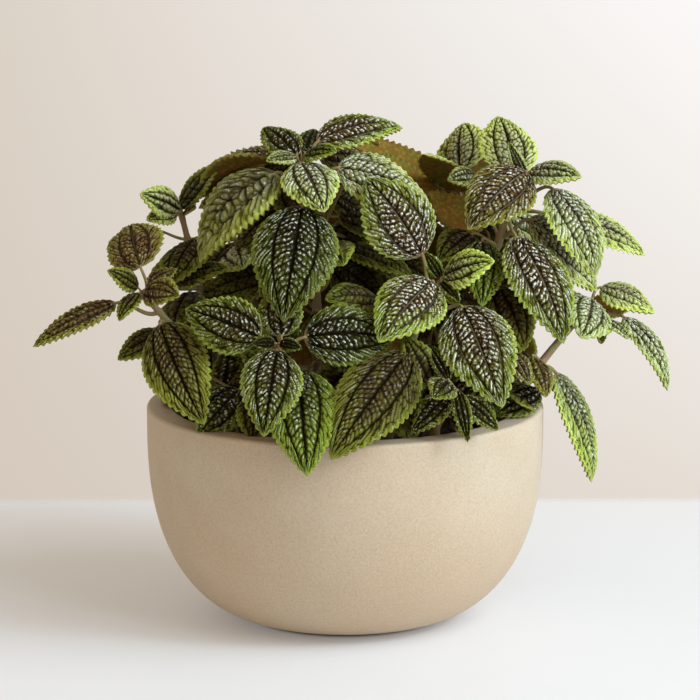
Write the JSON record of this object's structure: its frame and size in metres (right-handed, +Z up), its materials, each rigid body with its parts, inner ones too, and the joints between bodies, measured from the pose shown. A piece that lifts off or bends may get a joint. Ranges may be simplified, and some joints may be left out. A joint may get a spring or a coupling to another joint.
{
  "type": "potted friendship plant",
  "caption": "Bushy foliage plant with quilted, lime-edged dark leaves on short bending stems, growing in a round matte stoneware bowl filled with soil.",
  "frame": {"origin": "centre of the flat underside of the bowl, on the surface that it stands on", "axes": "+Z up out of the bowl, +X to the right and -Y towards the viewer of the fullest side"},
  "size_m": [0.3162, 0.2279, 0.2531],
  "materials": {
    "stoneware": "matte sandy beige stoneware, faintly speckled",
    "potting_soil": "dark crumbly potting soil",
    "stem": "pinkish brown fleshy stem, finely hairy",
    "leaf": "quilted leaf, dark bronze green with a bright lime toothed edge and a reddish brown underside"
  },
  "bodies": {
    "root": {"leaf_back_crown_1": "leaf", "leaf_back_crown_2": "leaf", "leaf_back_crown_right_1": "leaf", "leaf_back_crown_right_2": "leaf", "leaf_back_left_1": "leaf", "leaf_back_left_2": "leaf", "leaf_back_low_1": "leaf", "leaf_back_low_2": "leaf", "leaf_back_low_left_1": "leaf", "leaf_back_low_left_2": "leaf", "leaf_back_low_right_1": "leaf", "leaf_back_low_right_2": "leaf", "leaf_back_right_1": "leaf", "leaf_back_right_2": "leaf", "leaf_centre_1": "leaf", "leaf_centre_2": "leaf", "leaf_centre_3": "leaf", "leaf_centre_4": "leaf", "leaf_crown_left_1": "leaf", "leaf_crown_left_2": "leaf", "leaf_crown_left_3": "leaf", "leaf_crown_left_4": "leaf", "leaf_crown_left_5": "leaf", "leaf_crown_left_6": "leaf", "leaf_crown_right_1": "leaf", "leaf_crown_right_2": "leaf", "leaf_crown_right_3": "leaf", "leaf_crown_right_4": "leaf", "leaf_crown_right_5": "leaf", "leaf_crown_right_6": "leaf", "leaf_front_1": "leaf", "leaf_front_2": "leaf", "leaf_front_3": "leaf", "leaf_front_4": "leaf", "leaf_left_1": "leaf", "leaf_left_2": "leaf", "leaf_left_3": "leaf", "leaf_left_upper_1": "leaf", "leaf_right_1": "leaf", "leaf_right_2": "leaf", "leaf_side_left_1": "leaf", "leaf_side_right_1": "leaf", "pot": "stoneware", "soil": "potting_soil", "stem_back_crown": "stem", "stem_back_crown_right": "stem", "stem_back_left": "stem", "stem_back_low": "stem", "stem_back_low_left": "stem", "stem_back_low_right": "stem", "stem_back_right": "stem", "stem_centre": "stem", "stem_crown_left": "stem", "stem_crown_right": "stem", "stem_front": "stem", "stem_left": "stem", "stem_left_upper": "stem", "stem_right": "stem", "stem_side_left": "stem", "stem_side_right": "stem"}
  },
  "joints": []
}
